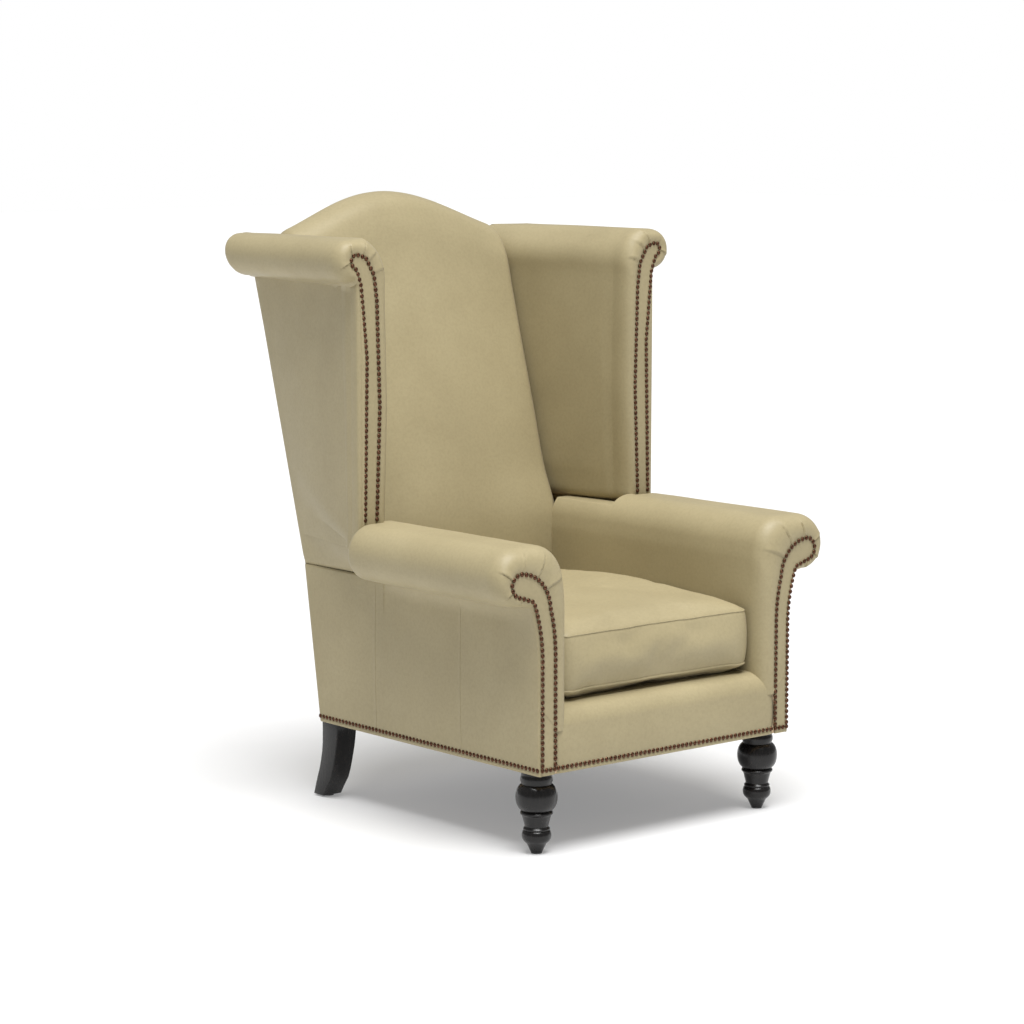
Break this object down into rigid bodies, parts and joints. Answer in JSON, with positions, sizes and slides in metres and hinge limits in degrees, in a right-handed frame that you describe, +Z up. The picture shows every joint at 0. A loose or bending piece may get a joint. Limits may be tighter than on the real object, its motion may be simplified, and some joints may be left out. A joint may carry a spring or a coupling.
{
  "type": "wingback armchair",
  "caption": "High-backed armchair with wings, rolled arms, camel back, nailed leather covers, loose seat cushion, turned front legs and curved rear legs.",
  "frame": {"origin": "floor under the middle of the chair's overall box", "axes": "+X to the right seen from the front, +Y to the back, +Z up"},
  "size_m": [0.906, 0.9766, 1.2682],
  "materials": {
    "leather": "satin full-grain leather, olive tan",
    "nails": "antique brown",
    "black_wood": "satin black lacquer",
    "frame_wood": "planed hardwood",
    "foam": "foam and fibre wadding",
    "canvas": "woven canvas",
    "webbing": "woven jute webbing",
    "black_cloth": "black non-woven cloth",
    "nylon": "smooth nylon",
    "steel": "zinc plated"
  },
  "bodies": {
    "chair": {"arm_facing_left": "leather", "arm_facing_right": "leather", "arm_nails_left": "nails", "arm_nails_right": "nails", "arm_pad_left": "foam", "arm_pad_right": "foam", "arm_rail_left": "frame_wood", "arm_rail_right": "frame_wood", "arm_scroll_post_left": "frame_wood", "arm_scroll_post_right": "frame_wood", "back_pad": "foam", "back_post_left": "frame_wood", "back_post_right": "frame_wood", "base_nails": "nails", "camel_top_rail": "frame_wood", "corner_blocks": "frame_wood", "deck_cover": "canvas", "deck_pad": "foam", "dust_cover": "black_cloth", "foot_glides": "nylon", "front_edge_roll": "foam", "front_leg_left": "black_wood", "front_leg_right": "black_wood", "front_rail_cover": "leather", "front_seat_rail": "frame_wood", "inside_arm_cover_left": "leather", "inside_arm_cover_right": "leather", "inside_back_cover": "leather", "inside_wing_cover_left": "leather", "inside_wing_cover_right": "leather", "leg_hanger_bolts": "steel", "lower_back_rail": "frame_wood", "outside_arm_cover_left": "leather", "outside_arm_cover_right": "leather", "outside_back_cover": "leather", "outside_wing_cover_left": "leather", "outside_wing_cover_right": "leather", "rear_leg_left": "black_wood", "rear_leg_right": "black_wood", "rear_seat_rail": "frame_wood", "seat_webbing_front_to_back": "webbing", "seat_webbing_side_to_side": "webbing", "side_seat_rail_left": "frame_wood", "side_seat_rail_right": "frame_wood", "spring_canvas": "canvas", "wing_facing_left": "leather", "wing_facing_right": "leather", "wing_nails_left": "nails", "wing_nails_right": "nails", "wing_pad_left": "foam", "wing_pad_right": "foam", "wing_scroll_post_left": "frame_wood", "wing_scroll_post_right": "frame_wood", "wing_top_rail_left": "frame_wood", "wing_top_rail_right": "frame_wood"},
    "seat_cushion": {"cushion_core": "foam", "cushion_cover": "leather"}
  },
  "joints": [
    {"name": "cushion_lift_out", "type": "slide", "parent": "chair", "child": "seat_cushion", "axis": [0, -0.866, 0.5], "range_m": [0, 0.75]}
  ]
}
